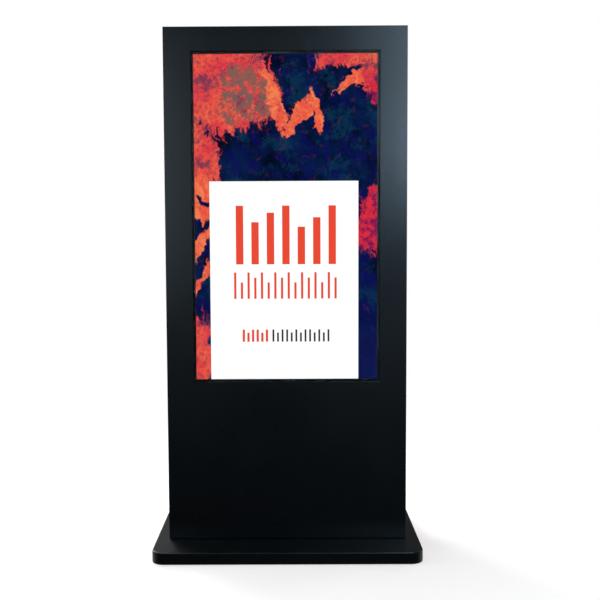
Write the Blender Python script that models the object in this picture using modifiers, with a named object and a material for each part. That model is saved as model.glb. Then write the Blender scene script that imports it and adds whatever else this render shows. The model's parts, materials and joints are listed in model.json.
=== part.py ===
"""A free-standing touchscreen kiosk: a folded sheet-steel cabinet on a weighted plinth.

Metres, +Z up. The origin is the centre of the footprint, on the floor. The screen faces -Y, and the
service door is on the +Y side. Left and right are those of a person who faces the screen.
"""

import math

import bmesh
import bpy
from mathutils import Matrix, Vector

# Driving dimensions.
SCREEN_WIDTH = 0.6804
SCREEN_HEIGHT = 1.2096
SIDE_BEZEL = 0.1108
TOP_BEZEL = 0.0984
SCREEN_BOTTOM = 0.660
CABINET_DEPTH = 0.270
PLINTH_WIDTH = 1.000
PLINTH_DEPTH = 0.580
PLINTH_TOP = 0.046
PLINTH_CORNER = 0.048
FLOOR_GAP = 0.002

# Sheet thicknesses and the gaps between pieces.
FRONT_SHEET = 0.002
SHEET = 0.0015
REST_GAP = 0.0003
RUNNING_FIT = 0.00008
SEAM = 0.001
DOOR_GAP = 0.0025

# How far a cutter runs past the face that it goes through.
OVERRUN = 0.010

# The cabinet's outer faces.
RIGHT = SCREEN_WIDTH / 2 + SIDE_BEZEL
FRONT = -CABINET_DEPTH / 2
REAR = CABINET_DEPTH / 2
BOTTOM = PLINTH_TOP + 0.002
SCREEN_TOP = SCREEN_BOTTOM + SCREEN_HEIGHT
SCREEN_MIDDLE = (SCREEN_BOTTOM + SCREEN_TOP) / 2
TOP = SCREEN_TOP + TOP_BEZEL

# The folded edges of the front panel, the cabinet's sides and the rear opening.
FRONT_RETURN = 0.0195
SIDE_FLANGE = 0.026
REAR_RETURN = 0.017
LIP_DEPTH = 0.020
CAP_HEIGHT = 0.0225
BODY_FRONT = FRONT + FRONT_RETURN + SEAM
BODY_TOP = TOP - CAP_HEIGHT - SEAM
OPENING = RIGHT - SIDE_FLANGE

# The window and what is stacked behind it.
WINDOW_MARGIN = 0.0098
GASKET = 0.0015
GLASS = 0.004
GLASS_OVERLAP = 0.024
LCD_BORDER = 0.013
LCD_DEPTH = 0.015
LCD_COVER_DEPTH = 0.028
GASKET_FRONT = FRONT + FRONT_SHEET + REST_GAP
GLASS_FRONT = GASKET_FRONT + GASKET + REST_GAP
LCD_FRONT = GLASS_FRONT + GLASS + 0.0015
LCD_BACK = LCD_FRONT + LCD_DEPTH
LCD_COVER_BACK = LCD_BACK + REST_GAP + LCD_COVER_DEPTH

# The rear face, from the floor up: a fixed panel, the door, and a fixed panel with the fans.
REAR_INSET = 0.0015
DOOR_BOTTOM = 0.1525
DOOR_TOP = 1.7955
DOOR_EDGE = OPENING - DOOR_GAP
HINGE_X = -(OPENING + DOOR_EDGE) / 2
KNUCKLE_RADIUS = 0.005
PIN_RADIUS = 0.0025
LEAF_FACE = KNUCKLE_RADIUS + 0.0002
HINGE_Y = REAR + REST_GAP + LEAF_FACE
HINGE_HEIGHTS = {"lower": 0.30, "middle": 0.975, "upper": 1.65}
LOCK_X = 0.385
LOCK_HEIGHTS = {"lower": 0.55, "upper": 1.45}
PLUG_RADIUS = 0.006

# What stands in the lower bay.
PLATE_FRONT = BODY_FRONT + SHEET + 0.0005
PLATE_BACK = PLATE_FRONT + SHEET
PLAYER_LOW = Vector((-0.28, PLATE_BACK + REST_GAP, 0.32))
PLAYER_SIZE = Vector((0.19, 0.045, 0.18))
STRIP_LOW = Vector((-0.20, PLATE_BACK + REST_GAP, 0.20))
STRIP_SIZE = Vector((0.42, 0.040, 0.045))
INLET = Vector((0.300, REAR, 0.100))
FAN_X = 0.150
FAN_SIZE = 0.120
FAN_DEPTH = 0.025
FAN_MIDDLE = Vector((0.0, REAR - SHEET - REST_GAP - FAN_DEPTH / 2, 1.871))

# The plinth's plate, feet and bolts.
BALLAST_THICKNESS = 0.012
BALLAST_TOP = PLINTH_TOP - FRONT_SHEET - 0.0005
BALLAST_BOTTOM = BALLAST_TOP - BALLAST_THICKNESS
FOOT_AT = Vector((0.440, 0.230))
BOLT_AT = Vector((0.380, 0.080))
BOLT_RADIUS = 0.004
STEM_RADIUS = 0.005

ROUND = 24
X_AXIS = Vector((1, 0, 0))
Y_AXIS = Vector((0, 1, 0))
Z_AXIS = Vector((0, 0, 1))
CORNERS = {
    "front_left": (-1, -1),
    "front_right": (1, -1),
    "rear_left": (-1, 1),
    "rear_right": (1, 1),
}


# ---------------------------------------------------------------- scene and materials


def clear_scene():
    for old in list(bpy.data.objects):
        bpy.data.objects.remove(old, do_unlink=True)


def new_collection(name):
    made = bpy.data.collections.new(name)
    bpy.context.scene.collection.children.link(made)
    return made


def new_material(name, colour, roughness, metallic=0.0, alpha=1.0):
    made = bpy.data.materials.new(name)
    made.use_nodes = True
    shader = made.node_tree.nodes["Principled BSDF"]
    shader.inputs["Base Color"].default_value = (*colour, 1.0)
    shader.inputs["Roughness"].default_value = roughness
    shader.inputs["Metallic"].default_value = metallic
    shader.inputs["Alpha"].default_value = alpha
    return made


clear_scene()
PARTS = new_collection("touchscreen_kiosk")
CUTTERS = new_collection("cutters")

BLACK_PAINT = new_material("black_powder_coat", (0.012, 0.014, 0.017), 0.42)
BASE_PAINT = new_material("black_plinth_coat", (0.014, 0.015, 0.016), 0.50)
ZINC = new_material("zinc_plated_steel", (0.55, 0.56, 0.58), 0.35, 0.9)
STEEL = new_material("plain_steel", (0.30, 0.31, 0.33), 0.45, 0.9)
CHROME = new_material("bright_nickel", (0.75, 0.75, 0.76), 0.18, 1.0)
RUBBER = new_material("black_rubber", (0.02, 0.02, 0.02), 0.80)
GLASS_CLEAR = new_material("clear_glass", (0.90, 0.95, 0.95), 0.05, 0.0, 0.25)
SCREEN = new_material("screen", (0.02, 0.05, 0.15), 0.25)
PLASTIC = new_material("black_plastic", (0.018, 0.018, 0.020), 0.45)
CABLE = new_material("cable_sheath", (0.015, 0.015, 0.016), 0.55)


# ---------------------------------------------------------------- modelling helpers


def new_object(name, mesh, material, origin=(0, 0, 0), parent=None):
    """A part whose mesh is written around origin, which is a place in the world."""
    made = bpy.data.objects.new(name, mesh)
    PARTS.objects.link(made)
    if material is not None and not mesh.materials:
        mesh.materials.append(material)
    made.location = origin
    if parent is not None:
        made.parent = parent
        made.location = Vector(origin) - world_place(parent)
    return made


def world_place(item):
    place = Vector(item.location)
    return place + world_place(item.parent) if item.parent else place


def pivot(name, place, parent=None):
    made = bpy.data.objects.new(name, None)
    PARTS.objects.link(made)
    made.empty_display_size = 0.03
    made.location = place
    if parent is not None:
        made.parent = parent
        made.location = Vector(place) - world_place(parent)
    return made


def mesh_of(bm, name, origin=(0, 0, 0)):
    bmesh.ops.translate(bm, verts=bm.verts, vec=-Vector(origin))
    mesh = bpy.data.meshes.new(name)
    bm.to_mesh(mesh)
    bm.free()
    return mesh


def add_box(bm, low, high):
    low, high = Vector(low), Vector(high)
    size = Matrix.Diagonal((*(high - low), 1.0))
    return bmesh.ops.create_cube(bm, size=1.0, matrix=Matrix.Translation((low + high) / 2) @ size)


def add_prism(bm, outline, depth):
    """The flat outline swept by the vector depth."""
    verts = [bm.verts.new(point) for point in outline]
    face = bm.faces.new(verts)
    face.normal_update()
    if face.normal.dot(depth) > 0:
        face.normal_flip()
    made = bmesh.ops.extrude_face_region(bm, geom=[face], use_keep_orig=True)["geom"]
    moved = [item for item in made if isinstance(item, bmesh.types.BMVert)]
    bmesh.ops.translate(bm, verts=moved, vec=depth)
    bmesh.ops.recalc_face_normals(bm, faces=bm.faces[:])


def add_cylinder(bm, radius, start, end, segments=ROUND):
    start, end = Vector(start), Vector(end)
    turn = (end - start).to_track_quat("Z", "Y").to_matrix().to_4x4()
    return bmesh.ops.create_cone(
        bm,
        cap_ends=True,
        segments=segments,
        radius1=radius,
        radius2=radius,
        depth=(end - start).length,
        matrix=Matrix.Translation((start + end) / 2) @ turn,
    )


def faces_towards(bm, direction):
    bm.normal_update()
    return [face for face in bm.faces if face.normal.dot(Vector(direction)) > 0.9]


def box(name, low, high, material, origin=None, parent=None, bevel=0.0):
    bm = bmesh.new()
    add_box(bm, low, high)
    if bevel:
        bmesh.ops.bevel(bm, geom=bm.edges[:], offset=bevel, segments=1, affect="EDGES")
    origin = (Vector(low) + Vector(high)) / 2 if origin is None else origin
    return new_object(name, mesh_of(bm, name, origin), material, origin, parent)


def helper(name, boxes=(), cylinders=()):
    """A hidden solid for the Booleans: any number of boxes and cylinders that don't touch."""
    bm = bmesh.new()
    for low, high in boxes:
        add_box(bm, low, high)
    for radius, start, end in cylinders:
        add_cylinder(bm, radius, start, end)
    made = bpy.data.objects.new(name, mesh_of(bm, name))
    CUTTERS.objects.link(made)
    made.hide_render = True
    made.display_type = "WIRE"
    return made


def boolean(target, other, operation):
    modifier = target.modifiers.new(operation.lower() + "_" + other.name, "BOOLEAN")
    modifier.operation = operation
    modifier.object = other
    return target


def cut(target, name, boxes=(), cylinders=()):
    return boolean(target, helper(name, boxes, cylinders), "DIFFERENCE")


def join(target, name, boxes=(), cylinders=()):
    return boolean(target, helper(name, boxes, cylinders), "UNION")


def solidify(target, thickness):
    """Turns the outer surface into a sheet that grows inwards, away from its normals."""
    modifier = target.modifiers.new("sheet", "SOLIDIFY")
    modifier.thickness = thickness
    modifier.offset = -1.0
    modifier.use_even_offset = True
    return target


def finished_mesh(target):
    """The target's evaluated mesh, for the copies of a repeated piece. The target is removed."""
    bpy.context.view_layer.update()
    graph = bpy.context.evaluated_depsgraph_get()
    mesh = bpy.data.meshes.new_from_object(target.evaluated_get(graph))
    mesh.name = target.name
    bpy.data.objects.remove(target, do_unlink=True)
    return mesh


def smooth(target, degrees=35):
    target.data.shade_smooth()
    target.data.set_sharp_from_angle(angle=math.radians(degrees))
    return target


def tray(name, low, high, open_side, material, thickness=SHEET, origin=None, parent=None):
    """A folded pan: a box with its face towards open_side missing."""
    bm = bmesh.new()
    add_box(bm, low, high)
    bmesh.ops.delete(bm, geom=faces_towards(bm, open_side), context="FACES")
    origin = (Vector(low) + Vector(high)) / 2 if origin is None else origin
    made = new_object(name, mesh_of(bm, name, origin), material, origin, parent)
    return solidify(made, thickness)


def folded_sheet(name, path, start, end, along, material, thickness=SHEET, parent=None):
    """A sheet folded along straight bends. Its path is the outer face in the plane across `along`:
    x and y for a sheet along Z, y and z for one along X. Metal lies to the right of the path."""
    bm = bmesh.new()
    if along == Z_AXIS:
        points = [Vector((x, y, start)) for x, y in path]
    else:
        points = [Vector((start, y, z)) for y, z in path]
    verts = [bm.verts.new(point) for point in points]
    edges = [bm.edges.new(pair) for pair in zip(verts, verts[1:])]
    made = bmesh.ops.extrude_edge_only(bm, edges=edges)["geom"]
    moved = [item for item in made if isinstance(item, bmesh.types.BMVert)]
    bmesh.ops.translate(bm, verts=moved, vec=along * (end - start))
    bm.normal_update()
    for face in bm.faces:
        edge = next(e for e in face.edges if e in edges)
        first, second = sorted(edge.verts, key=verts.index)
        outward = (second.co - first.co).cross(along)
        if face.normal.dot(outward) < 0:
            face.normal_flip()
    origin = sum(points, Vector()) / len(points) + along * (end - start) / 2
    made = new_object(name, mesh_of(bm, name, origin), material, origin, parent)
    return solidify(made, thickness)


def turned(name, profile, centre, direction, material, hollow=False, parent=None, segments=ROUND):
    """A turned piece. The profile of (radius, height) runs down its outer side, and a hollow one
    goes on up its bore. Heights are along direction, from centre."""
    bm = bmesh.new()
    verts = [bm.verts.new((radius, 0.0, height)) for radius, height in profile]
    for pair in zip(verts, verts[1:]):
        bm.edges.new(pair)
    if hollow:
        bm.edges.new((verts[-1], verts[0]))
    mesh = bpy.data.meshes.new(name)
    bm.to_mesh(mesh)
    bm.free()
    made = new_object(name, mesh, material, centre, parent)
    made.rotation_mode = "QUATERNION"
    made.rotation_quaternion = Vector(direction).to_track_quat("Z", "Y")
    screw = made.modifiers.new("turn", "SCREW")
    screw.steps = segments
    screw.render_steps = segments
    screw.use_merge_vertices = True
    screw.merge_threshold = 0.00005
    return made


def smooth_route(points, spacing):
    """Points every `spacing` along a Catmull-Rom curve through the route's own points."""
    ends = [2 * points[0] - points[1], *points, 2 * points[-1] - points[-2]]
    fine = []
    for a, b, c, d in zip(ends, ends[1:], ends[2:], ends[3:]):
        for step in range(24):
            t = step / 24
            fine.append(
                0.5
                * (
                    2 * b
                    + (c - a) * t
                    + (2 * a - 5 * b + 4 * c - d) * t**2
                    + (3 * b - a - 3 * c + d) * t**3
                )
            )
    fine.append(points[-1])
    kept = [fine[0]]
    for point in fine[1:-1]:
        if (point - kept[-1]).length >= spacing:
            kept.append(point)
    if (fine[-1] - kept[-1]).length < spacing / 2:
        kept.pop()
    kept.append(fine[-1])
    return kept


def lead(name, route, diameter):
    """A round cable that is clipped along its route."""
    points = smooth_route([Vector(point) for point in route], 2.5 * diameter)
    curve = bpy.data.curves.new(name, "CURVE")
    curve.dimensions = "3D"
    curve.bevel_depth = diameter / 2
    curve.bevel_resolution = 2
    curve.use_fill_caps = True
    spline = curve.splines.new("POLY")
    spline.points.add(len(points) - 1)
    for target, point in zip(spline.points, points):
        target.co = (*(point - points[0]), 1.0)
    curve.materials.append(CABLE)
    made = bpy.data.objects.new(name, curve)
    PARTS.objects.link(made)
    made.location = points[0]
    return made


# ---------------------------------------------------------------- plinth


def rounded_slab(bm, low, high, radius, segments):
    add_box(bm, low, high)
    upright = [e for e in bm.edges if abs((e.verts[0].co - e.verts[1].co).normalized().z) > 0.9]
    bmesh.ops.bevel(bm, geom=upright, offset=radius, segments=segments, affect="EDGES", profile=0.5)


def bolt_places():
    return [(BOLT_AT.x * x, BOLT_AT.y * y) for x, y in CORNERS.values()]


def foot_places():
    return {name: (FOOT_AT.x * x, FOOT_AT.y * y) for name, (x, y) in CORNERS.items()}


def plinth_cover():
    """The tray that shows: rounded in plan, its top edge eased, open underneath."""
    edge_radius = 0.003
    half = Vector((PLINTH_WIDTH, PLINTH_DEPTH)) / 2
    bm = bmesh.new()
    rounded_slab(bm, (-half.x, -half.y, FLOOR_GAP), (half.x, half.y, PLINTH_TOP), PLINTH_CORNER, 8)
    bmesh.ops.delete(bm, geom=faces_towards(bm, -Z_AXIS), context="FACES")
    rim = [e for face in faces_towards(bm, Z_AXIS) for e in face.edges]
    bmesh.ops.bevel(bm, geom=rim, offset=edge_radius, segments=2, affect="EDGES", profile=0.5)
    cover = new_object("plinth_cover", mesh_of(bm, "plinth_cover"), BASE_PAINT)
    solidify(cover, FRONT_SHEET)
    holes = [(BOLT_RADIUS + 0.0005, (x, y, 0.030), (x, y, 0.060)) for x, y in bolt_places()]
    cut(cover, "plinth_bolt_holes", cylinders=holes)
    return smooth(cover)


def ballast_plate():
    """The steel plate that keeps the kiosk from tipping, with a welded nut under each corner."""
    margin = 0.020
    half = Vector((PLINTH_WIDTH, PLINTH_DEPTH)) / 2 - Vector((margin, margin))
    bm = bmesh.new()
    low = (-half.x, -half.y, BALLAST_BOTTOM)
    high = (half.x, half.y, BALLAST_TOP)
    rounded_slab(bm, low, high, PLINTH_CORNER - margin, 5)
    plate = new_object("ballast_plate", mesh_of(bm, "ballast_plate"), STEEL)
    feet = list(foot_places().values())
    nuts = [(0.012, (x, y, BALLAST_BOTTOM - 0.012), (x, y, BALLAST_TOP - 0.003)) for x, y in feet]
    join(plate, "foot_nuts", cylinders=nuts)
    stems = [(STEM_RADIUS + RUNNING_FIT, (x, y, 0.0), (x, y, 0.060)) for x, y in feet]
    bolts = [(BOLT_RADIUS + RUNNING_FIT, (x, y, 0.0), (x, y, 0.060)) for x, y in bolt_places()]
    return cut(plate, "ballast_holes", cylinders=stems + bolts)


def levelling_feet():
    """Screw feet. At rest they are wound right in, and they wind down out of the welded nuts."""
    pad_radius = 0.020
    profile = [
        (0.0, BALLAST_TOP - 0.001),
        (STEM_RADIUS, BALLAST_TOP - 0.001),
        (STEM_RADIUS, 0.0192),
        (0.009, 0.0192),
        (0.009, 0.0085),
        (pad_radius - 0.003, 0.0070),
        (pad_radius, 0.0050),
        (pad_radius, 0.0010),
        (pad_radius - 0.001, 0.0),
        (0.0, 0.0),
    ]
    mesh = finished_mesh(turned("levelling_foot", profile, (0, 0, 0), Z_AXIS, RUBBER))
    for name, (x, y) in foot_places().items():
        smooth(new_object("levelling_foot_" + name, mesh, None, (x, y, 0.0)))


def plinth_bolts(seat):
    """Hex bolts through the cabinet's floor and the cover into the ballast plate."""
    head = 0.006
    bm = bmesh.new()
    add_cylinder(bm, 0.0075, (0, 0, 0), (0, 0, head), segments=6)
    bolt = new_object("plinth_bolt", mesh_of(bm, "plinth_bolt"), ZINC)
    shank = (BOLT_RADIUS, (0, 0, BALLAST_BOTTOM + 0.001 - seat), (0, 0, head / 2))
    join(bolt, "plinth_bolt_shank", cylinders=[shank])
    mesh = finished_mesh(bolt)
    for name, (x, y) in CORNERS.items():
        new_object("plinth_bolt_" + name, mesh, None, (BOLT_AT.x * x, BOLT_AT.y * y, seat))


# ---------------------------------------------------------------- cabinet


def floor_panel():
    reach = RIGHT - SHEET - REST_GAP
    low = (-reach, BODY_FRONT + SHEET + REST_GAP, PLINTH_TOP + REST_GAP)
    high = (reach, REAR - LIP_DEPTH - 0.001, PLINTH_TOP + 0.020)
    panel = tray("cabinet_floor", low, high, Z_AXIS, BLACK_PAINT)
    holes = [(BOLT_RADIUS + 0.0005, (x, y, 0.040), (x, y, 0.060)) for x, y in bolt_places()]
    return cut(panel, "floor_bolt_holes", cylinders=holes)


def side_panel(name, side):
    """A side of the cabinet: its wall, its front flange, and the rear flange and lip of the opening."""
    path = [
        (side * OPENING, REAR - LIP_DEPTH),
        (side * OPENING, REAR),
        (side * RIGHT, REAR),
        (side * RIGHT, BODY_FRONT),
        (side * OPENING, BODY_FRONT),
    ]
    if side > 0:
        path.reverse()
    return folded_sheet(name, path, BOTTOM, BODY_TOP, Z_AXIS, BLACK_PAINT)


def top_panel():
    low = (-RIGHT, BODY_FRONT, BODY_TOP + SEAM)
    return tray("top_panel", low, (RIGHT, REAR, TOP), -Z_AXIS, BLACK_PAINT)


def window_edges():
    """The window's half width, its bottom and its top."""
    half = SCREEN_WIDTH / 2 + WINDOW_MARGIN
    return half, SCREEN_BOTTOM - WINDOW_MARGIN, SCREEN_TOP + WINDOW_MARGIN


def front_panel():
    """The front: a full-height pan with a plain window cut through it."""
    half, low_edge, high_edge = window_edges()
    bm = bmesh.new()
    add_box(bm, (-RIGHT, FRONT, BOTTOM), (RIGHT, FRONT + FRONT_RETURN, TOP))
    bmesh.ops.delete(bm, geom=faces_towards(bm, Y_AXIS), context="FACES")
    cuts = [(X_AXIS, -half), (X_AXIS, half), (Z_AXIS, low_edge), (Z_AXIS, high_edge)]
    for normal, distance in cuts:
        everything = bm.verts[:] + bm.edges[:] + bm.faces[:]
        bmesh.ops.bisect_plane(bm, geom=everything, plane_co=normal * distance, plane_no=normal)
    middle = Vector((0.0, FRONT, (low_edge + high_edge) / 2))
    pane = min(bm.faces, key=lambda face: (face.calc_center_median() - middle).length)
    bmesh.ops.delete(bm, geom=[pane], context="FACES")
    origin = (0.0, FRONT, BOTTOM)
    panel = new_object("front_panel", mesh_of(bm, "front_panel", origin), BLACK_PAINT, origin)
    return solidify(panel, FRONT_SHEET)


def slots(centre_x, centre_z, count, pitch, height, half_width):
    """Boxes for a column of vent slots. half_width is a function of a slot's height from the middle."""
    found = []
    for row in range(count):
        offset = (row - (count - 1) / 2) * pitch
        reach = half_width(offset)
        low = (centre_x - reach, REAR - 0.010, centre_z + offset - height / 2)
        high = (centre_x + reach, REAR + 0.010, centre_z + offset + height / 2)
        found.append((low, high))
    return found


def rear_upper_panel():
    """The fixed panel over the door, slotted in a round pattern behind each fan."""
    low = (-(OPENING - REAR_INSET), REAR - REAR_RETURN, DOOR_TOP + DOOR_GAP)
    high = (OPENING - REAR_INSET, REAR, BODY_TOP - 0.0005)
    panel = tray("rear_upper_panel", low, high, -Y_AXIS, BLACK_PAINT)
    guard = 0.055

    def chord(offset):
        return math.sqrt(guard**2 - offset**2)

    boxes = []
    for side in (-1, 1):
        boxes += slots(side * FAN_X, FAN_MIDDLE.z, 9, 0.0115, 0.006, chord)
    return cut(panel, "fan_slots", boxes=boxes)


def rear_lower_panel():
    """The fixed panel under the door, with the cut-out for the power inlet."""
    low = (-(OPENING - REAR_INSET), REAR - REAR_RETURN, BOTTOM + 0.0005)
    high = (OPENING - REAR_INSET, REAR, DOOR_BOTTOM - DOOR_GAP)
    panel = tray("rear_lower_panel", low, high, -Y_AXIS, BLACK_PAINT)
    reach = Vector((0.0255, 0.010, 0.0135))
    return cut(panel, "inlet_cut_out", boxes=[(INLET - reach, INLET + reach)])


# ---------------------------------------------------------------- rear door, hinges and locks


def rear_door(swing):
    low = (-DOOR_EDGE, REAR - REAR_RETURN, DOOR_BOTTOM)
    high = (DOOR_EDGE, REAR, DOOR_TOP)
    door = tray("rear_door", low, high, -Y_AXIS, BLACK_PAINT, parent=swing)
    boxes = []
    for x in (-0.17, 0.17):
        boxes += slots(x, 0.270, 8, 0.013, 0.006, lambda offset: 0.13)
    cut(door, "door_vents", boxes=boxes)
    through = Y_AXIS * OVERRUN
    bores = []
    for z in LOCK_HEIGHTS.values():
        place = Vector((LOCK_X, REAR, z))
        bores.append((0.0084, place - through, place + through))
    return cut(door, "door_lock_bores", cylinders=bores)


def door_stiffener(swing):
    """A hat channel up the middle of the door, welded to its inner face."""
    seat = REAR - SHEET - REST_GAP
    crown = seat - 0.0125
    path = [(0.045, seat), (0.025, seat), (0.025, crown)]
    path += [(-x, y) for x, y in reversed(path)]
    folded_sheet("door_stiffener", path, 0.40, 1.60, Z_AXIS, BLACK_PAINT, parent=swing)


def hinge_leaf(name, side, knuckles):
    """A leaf of a butt hinge around the pin's axis, with the given knuckles as (low, high) heights."""
    half = 0.040
    slack = 0.0004
    reach = 0.0252
    low = Vector((min(0.0, side * reach), -LEAF_FACE, -half))
    high = Vector((max(0.0, side * reach), -LEAF_FACE + 0.002, half))
    leaf = box(name, low, high, BLACK_PAINT, origin=(0, 0, 0))
    gaps = []
    level = -half
    for start, end in [*knuckles, (half, half)]:
        if start > level:
            low_end = level - OVERRUN if level == -half else level
            high_end = start + OVERRUN if start == half else start
            gaps.append((low_end, high_end))
        level = end
    room = KNUCKLE_RADIUS + 0.0015
    notches = [((-room, -0.02, start), (room, 0.02, end)) for start, end in gaps]
    cut(leaf, name + "_notches", boxes=notches)
    barrels = [
        (KNUCKLE_RADIUS, (0, 0, start + slack), (0, 0, end - slack)) for start, end in knuckles
    ]
    join(leaf, name + "_knuckles", cylinders=barrels)
    bore = (PIN_RADIUS + RUNNING_FIT, (0, 0, -half - OVERRUN), (0, 0, half + OVERRUN))
    cut(leaf, name + "_bore", cylinders=[bore])
    return finished_mesh(leaf)


def hinges(swing):
    third = 0.0133
    frame_mesh = hinge_leaf("frame_leaf", -1, [(-0.040, -third), (third, 0.040)])
    door_mesh = hinge_leaf("door_leaf", 1, [(-third, third)])
    profile = [(0.0, 0.0425), (0.0040, 0.0425), (0.0040, 0.0403), (PIN_RADIUS, 0.0403)]
    profile += [(PIN_RADIUS, -0.0415), (0.0, -0.0415)]
    pin_mesh = finished_mesh(turned("pin", profile, (0, 0, 0), Z_AXIS, CHROME))
    for level, z in HINGE_HEIGHTS.items():
        place = (HINGE_X, HINGE_Y, z)
        smooth(new_object(f"hinge_{level}_frame_leaf", frame_mesh, None, place))
        smooth(new_object(f"hinge_{level}_door_leaf", door_mesh, None, place, swing))
        smooth(new_object(f"hinge_{level}_pin", pin_mesh, None, place))


def cam_lock(level, z, swing):
    """A quarter-turn lock: housing, key plug and cam. At rest the cam hangs clear of the lip."""
    axis_point = Vector((LOCK_X, REAR, z))
    turn = pivot(f"lock_{level}_pivot", axis_point, swing)
    face = REST_GAP
    housing = [
        (0.0105, face + 0.0022),
        (0.0112, face + 0.0012),
        (0.0112, face),
        (0.0080, face),
        (0.0080, -0.0200),
        (PLUG_RADIUS + RUNNING_FIT, -0.0200),
        (PLUG_RADIUS + RUNNING_FIT, face + 0.0022),
    ]
    name = f"lock_{level}_housing"
    smooth(turned(name, housing, axis_point, Y_AXIS, CHROME, hollow=True, parent=swing))
    plug = [(0.0, 0.0022), (PLUG_RADIUS - 0.0004, 0.0022), (PLUG_RADIUS, 0.0018)]
    plug += [(PLUG_RADIUS, -0.0225), (0.0, -0.0225)]
    key_plug = turned(f"lock_{level}_plug", plug, axis_point, Y_AXIS, CHROME, parent=turn)
    slot = Vector((0.0008, 0.0030, 0.0040))
    mouth = axis_point + Vector((0, 0.0022, 0))
    cut(key_plug, f"lock_{level}_key_slot", boxes=[(mouth - slot, mouth + slot)])
    smooth(key_plug)
    back = REAR - 0.0228
    front = back - 0.0025
    arm = 0.043
    outline = []
    for centre_z, radius, start in ((z, 0.009, 0), (z - arm, 0.007, 180)):
        for step in range(9):
            angle = math.radians(start + step * 22.5)
            x = LOCK_X + radius * math.cos(angle)
            outline.append(Vector((x, front, centre_z + radius * math.sin(angle))))
    name = f"lock_{level}_cam"
    bm = bmesh.new()
    add_prism(bm, outline, Y_AXIS * (back - front))
    new_object(name, mesh_of(bm, name, axis_point), ZINC, axis_point, turn)


# ---------------------------------------------------------------- display


def glass_stack():
    half, low_edge, high_edge = window_edges()
    ring = 0.014
    low = (-half - ring, GASKET_FRONT, low_edge - ring)
    high = (half + ring, GASKET_FRONT + GASKET, high_edge + ring)
    gasket = box("glass_gasket", low, high, RUBBER)
    hole_low = (-half - SEAM, GASKET_FRONT - OVERRUN, low_edge - SEAM)
    hole_high = (half + SEAM, GASKET_FRONT + OVERRUN, high_edge + SEAM)
    cut(gasket, "gasket_hole", boxes=[(hole_low, hole_high)])
    reach = GLASS_OVERLAP
    low = (-half - reach, GLASS_FRONT, low_edge - reach)
    high = (half + reach, GLASS_FRONT + GLASS, high_edge + reach)
    box("touch_glass", low, high, GLASS_CLEAR)


def glass_clamps():
    """Four folded strips that hold the glass to the back of the front panel."""
    half, low_edge, high_edge = window_edges()
    foot = FRONT + FRONT_SHEET + REST_GAP + SHEET
    lip = GLASS_FRONT + GLASS + REST_GAP + SHEET
    riser = GLASS_OVERLAP + 0.010
    nose = LCD_BORDER - WINDOW_MARGIN + 0.003
    for name, side in (("left", -1), ("right", 1)):
        edge = side * (half + riser)
        path = [(edge + side * 0.020, foot), (edge, foot), (edge, lip), (side * (half + nose), lip)]
        if side < 0:
            path.reverse()
        low, high = SCREEN_BOTTOM + 0.05, SCREEN_TOP - 0.05
        folded_sheet("glass_clamp_" + name, path, low, high, Z_AXIS, ZINC)
    for name, side, window_edge in (("bottom", -1, low_edge), ("top", 1, high_edge)):
        edge = window_edge + side * riser
        path = [(foot, edge + side * 0.020), (foot, edge), (lip, edge), (lip, window_edge + side * nose)]
        if side > 0:
            path.reverse()
        folded_sheet("glass_clamp_" + name, path, -0.30, 0.30, X_AXIS, ZINC)


def display():
    half = SCREEN_WIDTH / 2 + LCD_BORDER
    low = (-half, LCD_FRONT, SCREEN_BOTTOM - LCD_BORDER)
    high = (half, LCD_BACK, SCREEN_TOP + LCD_BORDER)
    box("lcd_panel", low, high, SCREEN)
    low = (-0.290, LCD_BACK + REST_GAP, SCREEN_MIDDLE - 0.515)
    high = (0.290, LCD_COVER_BACK, SCREEN_MIDDLE + 0.515)
    tray("lcd_rear_cover", low, high, -Y_AXIS, ZINC, thickness=0.001)


def display_mount():
    """Two upright rails on the display's back, hooked on two cross bars between the cabinet's sides."""
    rail_front = LCD_COVER_BACK + REST_GAP
    rail_back = rail_front + 0.024
    for name, x in (("left", -0.200), ("right", 0.200)):
        left, right = x - 0.018, x + 0.018
        path = [(left, rail_back), (left, rail_front), (right, rail_front), (right, rail_back)]
        low, high = SCREEN_MIDDLE - 0.31, SCREEN_MIDDLE + 0.31
        folded_sheet("display_rail_" + name, path, low, high, Z_AXIS, ZINC)
    bar_front = rail_back + 0.0005
    bar_back = bar_front + 0.025
    for name, z in (("lower", SCREEN_MIDDLE - 0.200), ("upper", SCREEN_MIDDLE + 0.200)):
        low, high = z - 0.020, z + 0.020
        path = [(bar_back, high), (bar_front, high), (bar_front, low), (bar_back, low)]
        reach = RIGHT - SHEET - SEAM
        folded_sheet("support_bar_" + name, path, -reach, reach, X_AXIS, ZINC, thickness=0.002)


# ---------------------------------------------------------------- equipment, power and cooling


def equipment_plate():
    back = PLATE_FRONT + 0.0135
    path = [(back, 0.56), (PLATE_FRONT, 0.56), (PLATE_FRONT, 0.16), (back, 0.16)]
    reach = RIGHT - SHEET - 0.0045
    folded_sheet("equipment_plate", path, -reach, reach, X_AXIS, ZINC)


def media_player():
    """A small computer, and its power button, which is pressed towards the front of the kiosk."""
    high = PLAYER_LOW + PLAYER_SIZE
    player = box("media_player", PLAYER_LOW, high, PLASTIC, bevel=0.003)
    centre = Vector((high.x - 0.020, high.y, high.z - 0.022))
    pocket = (0.0056, centre - Y_AXIS * 0.004, centre + Y_AXIS * 0.004)
    cut(player, "button_pocket", cylinders=[pocket])
    profile = [(0.0, 0.0013), (0.0042, 0.0013), (0.0050, 0.0006), (0.0050, -0.0024), (0.0, -0.0024)]
    smooth(turned("player_power_button", profile, centre, Y_AXIS, CHROME))


def power_strip():
    box("power_strip", STRIP_LOW, STRIP_LOW + STRIP_SIZE, PLASTIC, bevel=0.004)


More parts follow.
